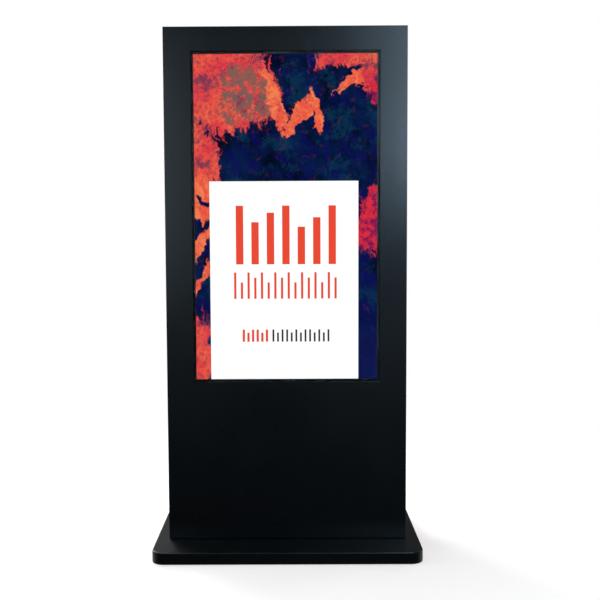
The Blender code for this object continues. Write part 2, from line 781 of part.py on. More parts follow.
def power_inlet():
    """A panel inlet with a recessed socket and a pocket for the rocker switch beside it."""
    flange_low = INLET + Vector((-0.029, REST_GAP, -0.016))
    flange_high = INLET + Vector((0.029, REST_GAP + 0.002, 0.016))
    inlet = box("power_inlet", flange_low, flange_high, PLASTIC)
    body_low = INLET + Vector((-0.025, -0.022, -0.013))
    body_high = INLET + Vector((0.025, 0.0013, 0.013))
    join(inlet, "inlet_body", boxes=[(body_low, body_high)])
    socket_low = INLET + Vector((-0.0215, -0.0150, -0.0085))
    socket_high = INLET + Vector((0.0035, 0.0100, 0.0085))
    cut(inlet, "inlet_socket", boxes=[(socket_low, socket_high)])
    pocket_low = INLET + Vector((0.0095, -0.0115, -0.0105))
    pocket_high = INLET + Vector((0.0235, 0.0100, 0.0105))
    cut(inlet, "inlet_pocket", boxes=[(pocket_low, pocket_high)])


def rocker_switch():
    """The rocker turns about a pin through its middle, and rests tipped to one side."""
    reach = 0.0060
    outline = [(-0.0092, 0.0052), (0.0, 0.0038), (0.0092, 0.0052), (0.0086, -0.0040), (-0.0086, -0.0040)]
    bm = bmesh.new()
    add_prism(bm, [Vector((-reach, out, along)) for along, out in outline], X_AXIS * 2 * reach)
    axis_point = INLET + Vector((0.0165, -0.0012, 0.0))
    made = new_object("rocker_switch", mesh_of(bm, "rocker_switch"), PLASTIC, axis_point)
    made.rotation_euler.x = math.radians(-8)


def fan(name, side):
    """An axial fan: a square frame with a motor seat on four arms, and a rotor of seven blades."""
    centre = FAN_MIDDLE + Vector((side * FAN_X, 0, 0))
    half = Vector((FAN_SIZE / 2, FAN_DEPTH / 2, FAN_SIZE / 2))
    frame = box(f"fan_{name}_frame", centre - half, centre + half, PLASTIC)
    through = Y_AXIS * (FAN_DEPTH / 2 + OVERRUN)
    cut(frame, f"fan_{name}_duct", cylinders=[(0.0575, centre - through, centre + through)])
    rear = centre + Y_AXIS * (FAN_DEPTH / 2)
    seat = (0.021, rear - Y_AXIS * 0.004, rear - Y_AXIS * 0.0005)
    join(frame, f"fan_{name}_motor_seat", cylinders=[seat])
    for along in (Vector((0.0585, 0, 0.002)), Vector((0.002, 0, 0.0585))):
        low = rear - along - Y_AXIS * 0.0035
        high = rear + along - Y_AXIS * 0.0010
        join(frame, f"fan_{name}_arm", boxes=[(low, high)])
    screws = []
    for x in (-0.0525, 0.0525):
        for z in (-0.0525, 0.0525):
            corner = centre + Vector((x, 0, z))
            screws.append((0.0022, corner - through, corner + through))
    cut(frame, f"fan_{name}_screw_holes", cylinders=screws)
    profile = [(0.0, 0.0082), (0.0200, 0.0082), (0.0200, -0.0100), (0.0185, -0.0115), (0.0, -0.0115)]
    rotor = turned(f"fan_{name}_rotor", profile, centre, Y_AXIS, PLASTIC)
    bm = bmesh.new()
    for blade in range(7):
        made = add_box(bm, (0.0180, -0.0085, -0.0007), (0.0545, 0.0085, 0.0007))["verts"]
        pitch = Matrix.Rotation(math.radians(38), 3, "X")
        spin = Matrix.Rotation(2 * math.pi * blade / 7, 3, "Y")
        bmesh.ops.rotate(bm, verts=made, matrix=spin @ pitch)
    bmesh.ops.translate(bm, verts=bm.verts, vec=centre - Y_AXIS * 0.002)
    blades = bpy.data.objects.new(f"fan_{name}_blades", mesh_of(bm, "blades"))
    CUTTERS.objects.link(blades)
    blades.hide_render = True
    blades.display_type = "WIRE"
    boolean(rotor, blades, "UNION")
    smooth(rotor)


def leads():
    """The cables inside, each clipped between two housings."""
    middle = STRIP_LOW.y + STRIP_SIZE.y / 2
    strip_top = STRIP_LOW.z + STRIP_SIZE.z + REST_GAP
    strip_end = STRIP_LOW.x + STRIP_SIZE.x + REST_GAP
    strip_middle = STRIP_LOW.z + STRIP_SIZE.z / 2
    player_bottom = PLAYER_LOW.z - REST_GAP
    player_top = PLAYER_LOW.z + PLAYER_SIZE.z + REST_GAP
    cover_bottom = SCREEN_MIDDLE - 0.515 - REST_GAP
    cover_y = LCD_BACK + REST_GAP + 0.010
    inlet_back = INLET.y - 0.022 - REST_GAP
    lead(
        "mains_feed_lead",
        [
            (0.300, inlet_back, 0.100),
            (0.300, inlet_back - 0.025, 0.099),
            (0.302, 0.015, 0.090),
            (0.306, -0.030, 0.100),
            (0.306, middle, 0.140),
            (0.300, middle, 0.180),
            (0.278, middle, strip_middle - 0.005),
            (0.250, middle, strip_middle),
            (strip_end, middle, strip_middle),
        ],
        0.008,
    )
    lead(
        "display_power_lead",
        [
            (0.150, middle, strip_top),
            (0.150, middle, strip_top + 0.03),
            (0.156, middle, 0.38),
            (0.150, middle + 0.002, 0.52),
            (0.120, cover_y, 0.64),
            (0.110, cover_y, cover_bottom - 0.03),
            (0.110, cover_y, cover_bottom),
        ],
        0.0075,
    )
    lead(
        "player_power_lead",
        [
            (-0.150, middle, strip_top),
            (-0.150, middle, strip_top + 0.02),
            (-0.154, middle, strip_top + 0.038),
            (-0.150, middle, player_bottom - 0.02),
            (-0.150, middle, player_bottom),
        ],
        0.006,
    )
    lead(
        "video_lead",
        [
            (-0.220, middle, player_top),
            (-0.220, middle, player_top + 0.03),
            (-0.205, middle, 0.60),
            (-0.182, cover_y, 0.68),
            (-0.180, cover_y, cover_bottom - 0.02),
            (-0.180, cover_y, cover_bottom),
        ],
        0.006,
    )


# ---------------------------------------------------------------- assembly


def main():
    plinth_cover()
    ballast_plate()
    levelling_feet()
    floor_panel()
    plinth_bolts(PLINTH_TOP + REST_GAP + SHEET + REST_GAP)
    side_panel("side_panel_left", -1)
    side_panel("side_panel_right", 1)
    top_panel()
    front_panel()
    rear_upper_panel()
    rear_lower_panel()
    swing = pivot("rear_door_pivot", (HINGE_X, HINGE_Y, 0.0))
    rear_door(swing)
    door_stiffener(swing)
    hinges(swing)
    for level, z in LOCK_HEIGHTS.items():
        cam_lock(level, z, swing)
    glass_stack()
    glass_clamps()
    display()
    display_mount()
    equipment_plate()
    media_player()
    power_strip()
    power_inlet()
    rocker_switch()
    fan("left", -1)
    fan("right", 1)
    leads()


main()
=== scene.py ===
"""Touchscreen kiosk: materials, fine detail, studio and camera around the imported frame.

Metres. The screen faces -Y, +X is to the right of a person who faces it, and the floor is at Z = 0.
"""

import json
import math

import bmesh
import bpy
from mathutils import Matrix, Vector


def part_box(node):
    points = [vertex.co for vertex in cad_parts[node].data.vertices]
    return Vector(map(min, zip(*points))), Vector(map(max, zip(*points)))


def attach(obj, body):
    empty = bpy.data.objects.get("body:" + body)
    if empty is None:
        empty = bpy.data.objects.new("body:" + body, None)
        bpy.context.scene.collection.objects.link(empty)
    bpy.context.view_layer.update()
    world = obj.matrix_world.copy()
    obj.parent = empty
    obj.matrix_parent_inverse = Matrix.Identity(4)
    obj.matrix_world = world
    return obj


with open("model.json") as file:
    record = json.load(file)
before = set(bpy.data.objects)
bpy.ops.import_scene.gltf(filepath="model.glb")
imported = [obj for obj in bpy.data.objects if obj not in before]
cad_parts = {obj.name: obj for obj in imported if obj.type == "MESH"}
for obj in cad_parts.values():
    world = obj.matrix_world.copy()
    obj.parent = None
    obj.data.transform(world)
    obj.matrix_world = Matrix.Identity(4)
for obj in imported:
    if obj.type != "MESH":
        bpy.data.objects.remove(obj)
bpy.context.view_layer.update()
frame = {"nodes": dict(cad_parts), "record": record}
NODES = frame["nodes"]

X_AXIS = Vector((1, 0, 0))
Y_AXIS = Vector((0, 1, 0))
Z_AXIS = Vector((0, 0, 1))

# Where the frame's pieces are.
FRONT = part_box("front_panel")[0].y
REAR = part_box("rear_door")[1].y
LCD_LOW, LCD_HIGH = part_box("lcd_panel")

# The lit picture, inside the display's dark border.
LCD_BORDER = 0.013
PICTURE_LOW = Vector((LCD_LOW.x + LCD_BORDER, 0, LCD_LOW.z + LCD_BORDER))
PICTURE_HIGH = Vector((LCD_HIGH.x - LCD_BORDER, 0, LCD_HIGH.z - LCD_BORDER))
PICTURE_SIZE = PICTURE_HIGH - PICTURE_LOW

# The camera stands in front of the cabinet at a standing adult's chest height.
CAMERA_DISTANCE = 3.353
CAMERA_HEIGHT = 1.191
CAMERA_SIDE = 0.016
CAMERA_YAW = -0.0041
CAMERA_PITCH = 0.0690
CAMERA_ROLL = -0.0049
LENS = 53.8
SENSOR = 36.0
SHIFT_X = 0.0217

# Fine detail starts this far from the surface that it stands on.
CLEAR = 0.0001


# ---------------------------------------------------------------- shader building


class Shader:
    """A material's node tree, with short calls for the nodes that the materials share."""

    def __init__(self, name):
        self.material = bpy.data.materials.new(name)
        self.material.use_nodes = True
        self.tree = self.material.node_tree
        self.bsdf = self.tree.nodes["Principled BSDF"]
        self.place = self.node("ShaderNodeTexCoord").outputs["Object"]

    def node(self, kind, **settings):
        made = self.tree.nodes.new(kind)
        for key, value in settings.items():
            setattr(made, key, value)
        return made

    def feed(self, socket, value):
        if isinstance(value, bpy.types.NodeSocket):
            self.tree.links.new(value, socket)
        elif isinstance(value, (tuple, list)) and len(value) == 3 and socket.type == "RGBA":
            socket.default_value = (*value, 1.0)
        else:
            socket.default_value = value

    def set(self, **values):
        """Sets the Principled BSDF's inputs: base_color= feeds Base Color, and so on."""
        by_name = {socket.name.lower().replace(" ", "_"): socket for socket in self.bsdf.inputs}
        for key, value in values.items():
            self.feed(by_name[key], value)

    def math(self, operation, *values):
        made = self.node("ShaderNodeMath", operation=operation)
        for socket, value in zip(made.inputs, values):
            self.feed(socket, value)
        return made.outputs[0]

    def vector(self, operation, *values):
        made = self.node("ShaderNodeVectorMath", operation=operation)
        for socket, value in zip(made.inputs, values):
            self.feed(socket, value)
        return made.outputs[0]

    def noise(self, scale, detail=2.0, roughness=0.5, place=None, colour=False):
        made = self.node("ShaderNodeTexNoise")
        self.feed(made.inputs["Vector"], self.place if place is None else place)
        made.inputs["Scale"].default_value = scale
        made.inputs["Detail"].default_value = detail
        made.inputs["Roughness"].default_value = roughness
        return made.outputs["Color" if colour else "Fac"]

    def stretched(self, scale):
        """The place, scaled by a different amount along each axis."""
        return self.vector("MULTIPLY", self.place, scale)

    def ramp(self, value, low, high, to_low=0.0, to_high=1.0):
        made = self.node("ShaderNodeMapRange", interpolation_type="SMOOTHSTEP")
        for socket, number in zip(made.inputs, (value, low, high, to_low, to_high)):
            self.feed(socket, number)
        return made.outputs["Result"]

    def mix(self, share, first, second):
        made = self.node("ShaderNodeMix", data_type="RGBA")
        self.feed(made.inputs["Factor"], share)
        self.feed(made.inputs[6], first)
        self.feed(made.inputs[7], second)
        return made.outputs[2]

    def bump(self, height, distance, strength=1.0):
        made = self.node("ShaderNodeBump")
        self.feed(made.inputs["Height"], height)
        made.inputs["Distance"].default_value = distance
        made.inputs["Strength"].default_value = strength
        self.feed(self.bsdf.inputs["Normal"], made.outputs["Normal"])

    def facing_up(self):
        """1 on a face that looks up, and 0 on an upright one."""
        parts = self.node("ShaderNodeSeparateXYZ")
        self.feed(parts.inputs[0], self.node("ShaderNodeNewGeometry").outputs["Normal"])
        return self.ramp(parts.outputs["Z"], 0.6, 1.0)


def powder_coat(name, colour, roughness, shine=0.5):
    """Fine-textured powder coat: a pebbled surface, faint wiping marks and a little dust on top."""
    shader = Shader(name)
    clouds = shader.noise(2.2, 2.0)
    smears = shader.noise(5.0, 2.0, 0.45)
    grain = shader.noise(1400.0, 1.0)
    pebbles = shader.noise(520.0, 2.0)
    lighter = tuple(1.5 * part for part in colour)
    tone = shader.mix(shader.ramp(clouds, 0.35, 0.65), colour, lighter)
    speckle = shader.mix(shader.ramp(grain, 0.62, 0.75), tone, tuple(2.2 * part for part in colour))
    dust_marks = shader.ramp(shader.noise(38.0, 5.0, 0.65), 0.42, 0.72)
    dust = shader.math("MULTIPLY", shader.math("MULTIPLY", shader.facing_up(), dust_marks), 0.035)
    shader.set(
        base_color=shader.mix(dust, speckle, (0.19, 0.18, 0.17)),
        roughness=shader.math(
            "ADD",
            shader.ramp(smears, 0.3, 0.7, roughness - 0.012, roughness + 0.016),
            shader.math("MULTIPLY", dust, 1.2),
        ),
        specular_ior_level=shine,
    )
    shader.bump(shader.math("ADD", pebbles, shader.math("MULTIPLY", grain, 0.4)), 0.00002, 0.35)
    return shader.material


def zinc_plate(name):
    shader = Shader(name)
    bands = shader.noise(5.0, 3.0)
    streaks = shader.noise(1.0, 3.0, 0.6, shader.stretched((25.0, 25.0, 160.0)))
    tone = shader.mix(shader.ramp(streaks, 0.3, 0.7), (0.50, 0.51, 0.53), (0.57, 0.58, 0.60))
    shader.set(
        base_color=shader.mix(shader.ramp(bands, 0.4, 0.7, 0.0, 0.35), tone, (0.44, 0.45, 0.46)),
        metallic=0.95,
        roughness=shader.ramp(streaks, 0.3, 0.7, 0.30, 0.44),
    )
    shader.bump(shader.noise(900.0), 0.00001, 0.4)
    return shader.material


def rolled_steel(name):
    shader = Shader(name)
    scale = shader.noise(24.0, 5.0, 0.6)
    tone = shader.mix(shader.ramp(scale, 0.35, 0.65), (0.16, 0.165, 0.18), (0.30, 0.30, 0.31))
    shader.set(base_color=tone, metallic=0.85, roughness=shader.ramp(scale, 0.3, 0.7, 0.40, 0.60))
    shader.bump(scale, 0.0001, 0.3)
    return shader.material


def bright_nickel(name):
    shader = Shader(name)
    brushed = shader.noise(1.0, 2.0, 0.5, shader.stretched((900.0, 60.0, 900.0)))
    haze = shader.noise(60.0, 3.0)
    shader.set(
        base_color=shader.mix(haze, (0.66, 0.65, 0.63), (0.78, 0.77, 0.75)),
        metallic=1.0,
        roughness=shader.ramp(brushed, 0.3, 0.7, 0.16, 0.26),
    )
    shader.bump(brushed, 0.00001, 0.2)
    return shader.material


def rubber(name, roughness=0.78):
    shader = Shader(name)
    bloom = shader.noise(45.0, 4.0)
    paler = shader.ramp(bloom, 0.4, 0.7)
    shader.set(
        base_color=shader.mix(paler, (0.012, 0.012, 0.012), (0.030, 0.029, 0.028)),
        roughness=shader.ramp(bloom, 0.3, 0.7, roughness - 0.06, roughness + 0.08),
    )
    shader.bump(shader.noise(700.0, 3.0), 0.00006, 0.5)
    return shader.material


def moulded_plastic(name, colour, roughness):
    """Black plastic with the fine spark-eroded grain of a moulding tool."""
    shader = Shader(name)
    grain = shader.noise(1100.0, 2.0)
    tone = shader.noise(12.0, 3.0)
    lighter = tuple(1.5 * part + 0.002 for part in colour)
    shader.set(
        base_color=shader.mix(tone, colour, lighter),
        roughness=shader.ramp(tone, 0.3, 0.7, roughness - 0.04, roughness + 0.05),
    )
    shader.bump(grain, 0.00004, 0.45)
    return shader.material


def black_oxide(name):
    """Oiled black steel, worn a little brighter where a tool has turned it."""
    shader = Shader(name)
    wear = shader.ramp(shader.noise(180.0, 4.0, 0.6), 0.52, 0.70)
    shader.set(
        base_color=shader.mix(wear, (0.020, 0.021, 0.023), (0.085, 0.085, 0.090)),
        metallic=0.8,
        roughness=shader.ramp(wear, 0.0, 1.0, 0.34, 0.48),
    )
    shader.bump(shader.noise(800.0), 0.00001, 0.3)
    return shader.material


def foil_plate(name):
    shader = Shader(name)
    brushed = shader.noise(1.0, 2.0, 0.5, shader.stretched((30.0, 30.0, 1200.0)))
    shader.set(
        base_color=shader.mix(brushed, (0.70, 0.70, 0.71), (0.82, 0.82, 0.83)),
        metallic=0.6,
        roughness=shader.ramp(brushed, 0.3, 0.7, 0.34, 0.46),
    )
    shader.bump(brushed, 0.00001, 0.3)
    return shader.material


def lamp_lens(name, colour, strength):
    """A tinted lens lit from behind, with the mottling of diffusing plastic."""
    shader = Shader(name)
    cloudy = shader.noise(400.0, 2.0)
    darker = tuple(0.8 * part for part in colour)
    shader.set(
        base_color=colour,
        roughness=shader.ramp(cloudy, 0.3, 0.7, 0.22, 0.34),
        emission_color=shader.mix(cloudy, darker, colour),
        emission_strength=strength,
    )
    shader.bump(cloudy, 0.00002, 0.2)
    return shader.material


def clear_glass(name):
    """Glass with an anti-reflective coating, so its surfaces mirror very little."""
    shader = Shader(name)
    wiped = shader.noise(1.0, 4.0, 0.6, shader.stretched((9.0, 9.0, 4.0)))
    shader.set(
        base_color=(0.985, 0.995, 0.992),
        roughness=shader.ramp(wiped, 0.45, 0.75, 0.0, 0.012),
        transmission_weight=1.0,
        ior=1.09,
    )
    return shader.material


# ---------------------------------------------------------------- the lit picture


def lit(shader, colour, strength):
    """The display's pixels: they give light and reflect almost none."""
    shader.set(
        base_color=(0.001, 0.001, 0.0012),
        roughness=0.6,
        specular_ior_level=0.0,
        emission_color=colour,
        emission_strength=strength,
    )
    return shader.material


# A brush's hairs: how closely they lie across a stroke, how slowly they change along it, and how
# far they fray its edge.
HAIRS_ACROSS = 75.0
HAIRS_ALONG = 10.0
HAIR_FRAY = 1.5

# How far the painting's outlines wander, in metres: broadly and in ragged detail.
BROAD_WANDER = 0.15
RAGGED_WANDER = 0.060


def brush_stroke(shader, place, centre, reach, tilt):
    """How far inside a slanted, dry-edged stroke a place is: over 0 where there is paint."""
    turned = shader.node("ShaderNodeVectorRotate", rotation_type="Y_AXIS")
    shader.feed(turned.inputs["Vector"], shader.vector("SUBTRACT", place, centre))
    turned.inputs["Angle"].default_value = math.radians(tilt)
    scaled = shader.vector("DIVIDE", turned.outputs[0], (reach[0], 1.0, reach[1]))
    length = shader.node("ShaderNodeVectorMath", operation="LENGTH")
    shader.feed(length.inputs[0], shader.vector("MULTIPLY", scaled, (1.0, 0.0, 1.0)))
    hairs = shader.vector("MULTIPLY", turned.outputs[0], (HAIRS_ACROSS, 1.0, HAIRS_ALONG))
    streaks = shader.math("SUBTRACT", shader.noise(1.0, 5.0, 0.7, hairs), 0.5)
    inside = shader.math("SUBTRACT", 1.0, length.outputs["Value"])
    return shader.math("ADD", inside, shader.math("MULTIPLY", streaks, HAIR_FRAY))


def picture_place(across, up):
    """A place on the picture from shares of its width and height, from its lower left corner."""
    x = PICTURE_LOW.x + across * PICTURE_SIZE.x
    return Vector((x, 0.0, PICTURE_LOW.z + up * PICTURE_SIZE.z))


def drifting(shader, noise, reach):
    """A shift of up to half of reach along each axis, which changes from place to place."""
    centred = shader.vector("SUBTRACT", noise, (0.5, 0.5, 0.5))
    return shader.vector("MULTIPLY", centred, (reach, reach, reach))


def blue_field(shader, bristles, blotches, flecks):
    """Navy with teal clouds and rusty flecks, and a plainer blue towards the foot."""
    clouds = shader.ramp(blotches, 0.36, 0.64)
    navy = shader.mix(clouds, (0.0004, 0.0030, 0.012), (0.0022, 0.012, 0.066))
    violet = shader.ramp(bristles, 0.47, 0.62, 0.0, 0.85)
    navy = shader.mix(violet, navy, (0.0040, 0.0036, 0.095))
    teal = shader.ramp(shader.noise(7.0, 6.0, 0.8), 0.505, 0.60, 0.0, 0.9)
    field = shader.mix(teal, navy, (0.0030, 0.028, 0.070))
    rust = shader.ramp(flecks, 0.575, 0.66, 0.0, 0.45)
    field = shader.mix(rust, field, (0.115, 0.016, 0.034))
    parts = shader.node("ShaderNodeSeparateXYZ")
    shader.feed(parts.inputs[0], shader.place)
    foot = shader.ramp(parts.outputs["Z"], PICTURE_LOW.z, PICTURE_LOW.z + 0.45, 0.7, 0.0)
    return shader.mix(foot, field, (0.0036, 0.0075, 0.085))


def warm_paints(shader, bristles, blotches, flecks):
    """The strokes' paints: coral, orange, a warm grey and crimson."""
    fine = shader.noise(70.0, 6.0, 0.8)
    warm = shader.mix(
        shader.ramp(blotches, 0.38, 0.60), (0.76, 0.042, 0.060), (0.86, 0.105, 0.060)
    )
    warm = shader.mix(shader.ramp(bristles, 0.54, 0.66, 0.0, 0.75), warm, (0.88, 0.19, 0.095))
    warm = shader.mix(shader.ramp(fine, 0.47, 0.62, 0.0, 0.85), warm, (0.33, 0.040, 0.065))
    violet = shader.ramp(shader.noise(13.0, 6.0, 0.8), 0.53, 0.60, 0.0, 0.8)
    coral = shader.mix(violet, warm, (0.115, 0.034, 0.085))
    streaked = shader.ramp(bristles, 0.42, 0.60)
    orange = shader.mix(streaked, (0.84, 0.095, 0.055), (0.92, 0.22, 0.085))
    orange = shader.mix(shader.ramp(fine, 0.52, 0.66, 0.0, 0.8), orange, (0.34, 0.045, 0.06))
    streaked = shader.ramp(bristles, 0.40, 0.60)
    grey = shader.mix(streaked, (0.17, 0.105, 0.100), (0.27, 0.105, 0.080))
    grey = shader.mix(shader.ramp(flecks, 0.49, 0.55), grey, coral)
    crimson = shader.mix(
        shader.ramp(flecks, 0.44, 0.58), (0.70, 0.026, 0.045), (0.17, 0.009, 0.085)
    )
    return coral, orange, grey, crimson


def painted_backdrop(name):
    """An abstract of loose brushwork: warm masses and strokes over deep blue."""
    shader = Shader(name)
    broad = drifting(shader, shader.noise(6.0, 4.0, 0.6, colour=True), BROAD_WANDER)
    ragged = drifting(shader, shader.noise(26.0, 6.0, 0.75, colour=True), RAGGED_WANDER)
    place = shader.vector("ADD", shader.vector("ADD", shader.place, broad), ragged)

    slant = shader.node("ShaderNodeVectorRotate", rotation_type="Y_AXIS")
    shader.feed(slant.inputs["Vector"], place)
    slant.inputs["Angle"].default_value = math.radians(28)
    sweep = shader.vector("MULTIPLY", slant.outputs[0], (38.0, 1.0, 11.0))
    bristles = shader.noise(1.0, 6.0, 0.72, sweep)
    blotches = shader.noise(8.0, 6.0, 0.7)
    flecks = shader.noise(34.0, 6.0, 0.78)
    field = blue_field(shader, bristles, blotches, flecks)
    coral, orange, grey, crimson = warm_paints(shader, bristles, blotches, flecks)

    # Each stroke: its paint, its centre, its half width and half length, and its lean in degrees.
    strokes = (
        (coral, (0.15, 0.905), (0.215, 0.185), 8),
        (grey, (0.27, 0.885), (0.110, 0.115), 14),
        (orange, (0.440, 0.865), (0.030, 0.125), 17),
        (orange, (0.560, 0.815), (0.026, 0.105), -28),
        (orange, (0.648, 0.830), (0.019, 0.105), 13),
        (coral, (0.87, 0.990), (0.170, 0.046), 8),
        (orange, (0.88, 0.915), (0.019, 0.110), -56),
        (coral, (0.99, 0.935), (0.050, 0.070), 0),
        (crimson, (1.01, 0.880), (0.045, 0.055), 0),
        (coral, (0.02, 0.680), (0.080, 0.115), -10),
        (orange, (0.02, 0.550), (0.050, 0.115), -8),
        (orange, (0.05, 0.420), (0.018, 0.085), -26),
        (orange, (0.04, 0.300), (0.016, 0.080), -28),
        (coral, (0.00, 0.080), (0.085, 0.170), -4),
        (crimson, (1.00, 0.490), (0.100, 0.135), 8),
        (field, (0.075, 0.550), (0.011, 0.060), 62),
        (field, (0.005, 0.475), (0.022, 0.050), 24),
        (field, (0.095, 0.125), (0.030, 0.045), -8),
    )
    painting = field
    for paint, (across, up), reach, tilt in strokes:
        inside = brush_stroke(shader, place, picture_place(across, up), reach, tilt)
        painting = shader.mix(shader.ramp(inside, 0.0, 0.10), painting, paint)
    return lit(shader, painting, 1.0)


def flat_light(name, colour, strength):
    """One colour of the picture's print, with the display's faint unevenness."""
    shader = Shader(name)
    glow = shader.noise(2.0, 2.0)
    darker = tuple(0.975 * part for part in colour)
    return lit(shader, shader.mix(glow, darker, colour), strength)


# ---------------------------------------------------------------- meshes


def new_piece(name, bm, material_list, body):
    mesh = bpy.data.meshes.new(name)
    bm.to_mesh(mesh)
    bm.free()
    for material in material_list:
        mesh.materials.append(material)
    made = bpy.data.objects.new(name, mesh)
    bpy.context.scene.collection.objects.link(made)
    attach(made, body)
    return made


def add_panel(bm, low, high, y, material_index):
    """A flat panel that faces the viewer, from low to high in x and z."""
    corners = ((high.x, high.z), (low.x, high.z), (low.x, low.z), (high.x, low.z))
    face = bm.faces.new([bm.verts.new((x, y, z)) for x, z in corners])
    face.material_index = material_index


def add_bars(bm, across, up, count, share, heights, y, material_index):
    """A row of upright bars, each a share of its pitch wide, whose heights repeat a pattern."""
    pitch = (across[1] - across[0]) / (count - 1 + share)
    for index in range(count):
        start = across[0] + index * pitch
        top = up[0] + (up[1] - up[0]) * heights[index % len(heights)]
        low, high = picture_place(start, up[0]), picture_place(start + share * pitch, top)
        add_panel(bm, low, high, y, material_index)


# The poster's white card and rows of bars, in shares of the picture from its lower left corner.
# Each row: its span across, its span up, how many bars, a bar's share of its pitch, the heights
# that repeat along it, and its place in the list of materials.
CARD_LOW = (0.081, 0.0)
CARD_HIGH = (0.897, 0.614)
BAR_ROWS = (
    ((0.224, 0.774), (0.358, 0.539), 7, 0.48, (1.0, 0.72, 0.88, 1.0, 0.64, 0.80, 1.0), 2),
    ((0.212, 0.778), (0.251, 0.333), 16, 0.34, (1.0, 0.62, 1.0, 0.80), 2),
    ((0.257, 0.398), (0.117, 0.155), 6, 0.50, (1.0, 0.75, 1.0), 2),
    ((0.422, 0.737), (0.117, 0.155), 13, 0.40, (1.0, 0.75, 1.0, 1.0, 0.75), 3),
)

# How far apart the three layers of the poster are: the painting, the card and the bars.
LAYER = 0.0002


def lit_picture():
    """The poster on the display: an abstract, a white card and rows of bars instead of words."""
    back = LCD_LOW.y - LAYER
    bm = bmesh.new()
    add_panel(bm, picture_place(0, 0), picture_place(1, 1), back, 0)
    add_panel(bm, picture_place(*CARD_LOW), picture_place(*CARD_HIGH), back - LAYER, 1)
    for across, up, count, share, heights, material_index in BAR_ROWS:
        add_bars(bm, across, up, count, share, heights, back - 2 * LAYER, material_index)
    materials = [
        painted_backdrop("picture_paint"),
        flat_light("picture_white", (1.0, 1.0, 1.0), 1.05),
        flat_light("picture_red", (0.84, 0.070, 0.036), 1.0),
        flat_light("picture_dark", (0.030, 0.028, 0.030), 1.0),
    ]
    picture = new_piece("screen_picture", bm, materials, "cabinet")


# ---------------------------------------------------------------- fine detail


def ring(bm, centre, across, along, half, corner):
    """A loop of a rounded rectangle, or a circle where the corner is half of each side."""
    made = []
    for quarter, (side_x, side_y) in enumerate(((1, 1), (-1, 1), (-1, -1), (1, -1))):
        for step in range(5):
            angle = math.radians(90 * quarter + 22.5 * step)
            x = side_x * (half[0] - corner) + corner * math.cos(angle)
            y = side_y * (half[1] - corner) + corner * math.sin(angle)
            made.append(bm.verts.new(centre + across * x + along * y))
    return made


def loft(bm, place, direction, sections, material_index=0, through=False):
    """A closed form through sections along a direction, each (distance, half, half, corner).

    With through set, the last section joins the first, which leaves a hole through the middle.
    """
    across = X_AXIS if abs(direction.x) < 0.9 else Y_AXIS
    along = direction.cross(across)
    rings = []
    for distance, half_across, half_along, corner in sections:
        centre = place + direction * distance
        rings.append(ring(bm, centre, across, along, (half_across, half_along), corner))
    if through:
        faces = []
        rings.append(rings[0])
    else:
        faces = [bm.faces.new(rings[-1]), bm.faces.new(rings[0][::-1])]
    for first, second in zip(rings, rings[1:]):
        for index, corner in enumerate(first):
            following = (index + 1) % len(first)
            side = (corner, first[following], second[following], second[index])
            faces.append(bm.faces.new(side))
    for face in faces:
        face.material_index = material_index


def circle(distance, radius):
    return (distance, radius, radius, radius)


def slab(bm, place, direction, half, thickness, corner, ease, material_index=0):
    """A block with rounded corners and an eased outer edge, standing on a face."""
    inner = max(corner - ease, 0.2 * corner)
    sections = [
        (CLEAR, *half, corner),
        (thickness - ease, *half, corner),
        (thickness, half[0] - ease, half[1] - ease, inner),
    ]
    loft(bm, place, direction, sections, material_index)


def screw_head(bm, place, direction, radius, material_index=0):
    """A button head with a socket in it."""
    height = 0.55 * radius
    edge = ((CLEAR, 1.0), (0.4 * height, 1.0), (0.8 * height, 0.82))
    outline = (*edge, (height, 0.58), (height, 0.44))
    sections = [circle(distance, radius * share) for distance, share in outline]
    sections.append(circle(0.4 * height, 0.40 * radius))
    loft(bm, place, direction, sections, material_index)


def moulded_plug(bm, place, direction, half, length, lead_radius):
    """A moulded plug on the end of a lead, with a ribbed sleeve where the lead leaves it."""
    ease = 0.0012
    corner = 0.45 * min(half)
    sections = [
        (CLEAR, half[0] - ease, half[1] - ease, corner - 0.4 * ease),
        (ease, *half, corner),
        (0.55 * length, *half, corner),
        (0.70 * length, 0.62 * half[0] + 0.0006, 0.80 * half[1], corner),
    ]
    loft(bm, place, direction, sections)
    sleeve = []
    for rib in range(4):
        start = length * (0.70 + 0.16 * rib) + 0.0002
        radius = lead_radius + 0.0022 - 0.0003 * rib
        sleeve += [circle(start, radius), circle(start + 0.09 * length, radius)]
        sleeve += [circle(start + 0.10 * length, lead_radius + 0.0006)]
        sleeve += [circle(start + 0.15 * length, lead_radius + 0.0006)]
    loft(bm, place, direction, sleeve)


def finish_piece(name, bm, materials, body):
    bmesh.ops.remove_doubles(bm, verts=bm.verts, dist=0.000001)
    made = new_piece(name, bm, materials, body)
    made.data.shade_smooth()
    made.data.set_sharp_from_angle(angle=math.radians(35))
    return made


def corners_of(low, high, inset):
    """The four corners of a box's face that looks along Y, moved in from its edges."""
    for x in (low.x + inset, high.x - inset):
        for z in (low.z + inset, high.z - inset):
            yield x, z


# The radii of the screws' heads.
PANEL_SCREW = 0.0042
FAN_SCREW = 0.0038
INLET_SCREW = 0.0021
HINGE_SCREW = 0.0036
COVER_SCREW = 0.0034
RAIL_SCREW = 0.0062
FILTER_SCREW = 0.0030

# How far the screws stand in from the edges of what they hold.
PANEL_INSET = 0.016
FAN_INSET = 0.0075
INLET_INSET = 0.0029
HINGE_INSET = 0.012
COVER_INSET = 0.012

# A hinge leaf's screws: how far they stand from the pin's axis, and how thick the leaf is.
HINGE_SCREW_OFFSET = 0.0165
HINGE_LEAF = 0.0023


